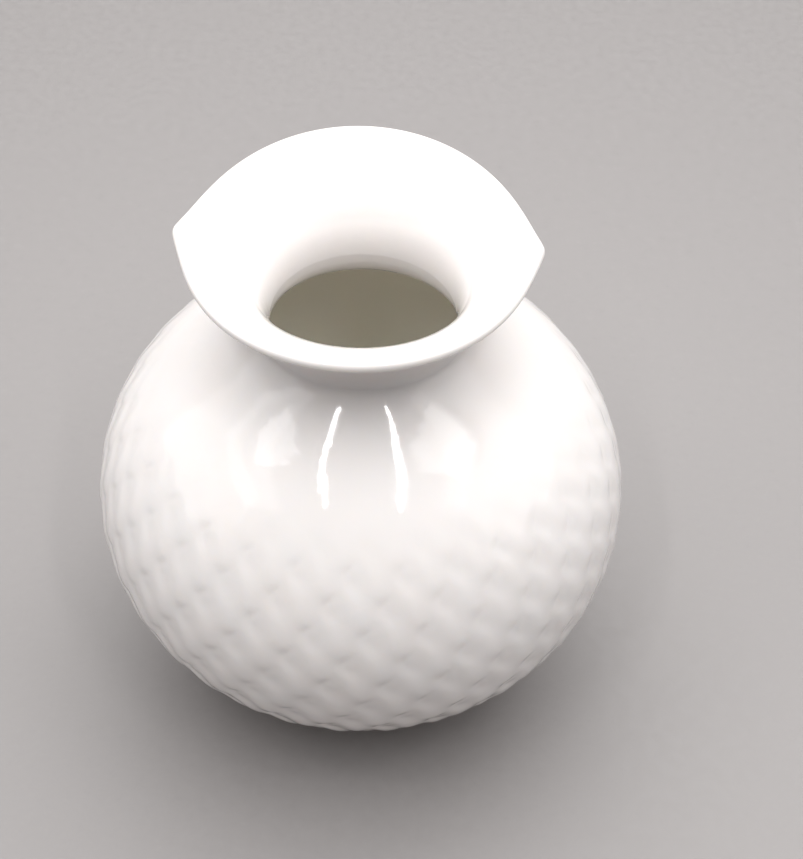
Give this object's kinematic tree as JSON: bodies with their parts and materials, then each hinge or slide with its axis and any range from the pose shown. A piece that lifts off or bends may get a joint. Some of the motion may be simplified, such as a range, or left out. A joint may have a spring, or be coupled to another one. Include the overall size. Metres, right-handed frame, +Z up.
{
  "type": "porcelain vase",
  "caption": "Small white glazed vase: flattened round bulb with a soft leaf-scale relief, low foot ring, drawn-in neck and wide flared mouth with two points.",
  "frame": {"origin": "middle of the foot ring, on the surface that the vase stands on", "axes": "+Z up along the vase's axis, the two points of the mouth lie along +X and -X, -Y is the front"},
  "size_m": [0.15, 0.15, 0.1543],
  "materials": {
    "foot_ring": "glazed side, unglazed standing edge",
    "base": "gloss glaze",
    "bulb": "gloss glaze pooled over a pressed relief",
    "mouth": "gloss glaze"
  },
  "bodies": {
    "root": {"foot_ring": "foot_ring", "base": "base", "bulb": "bulb", "mouth": "mouth"}
  },
  "joints": []
}
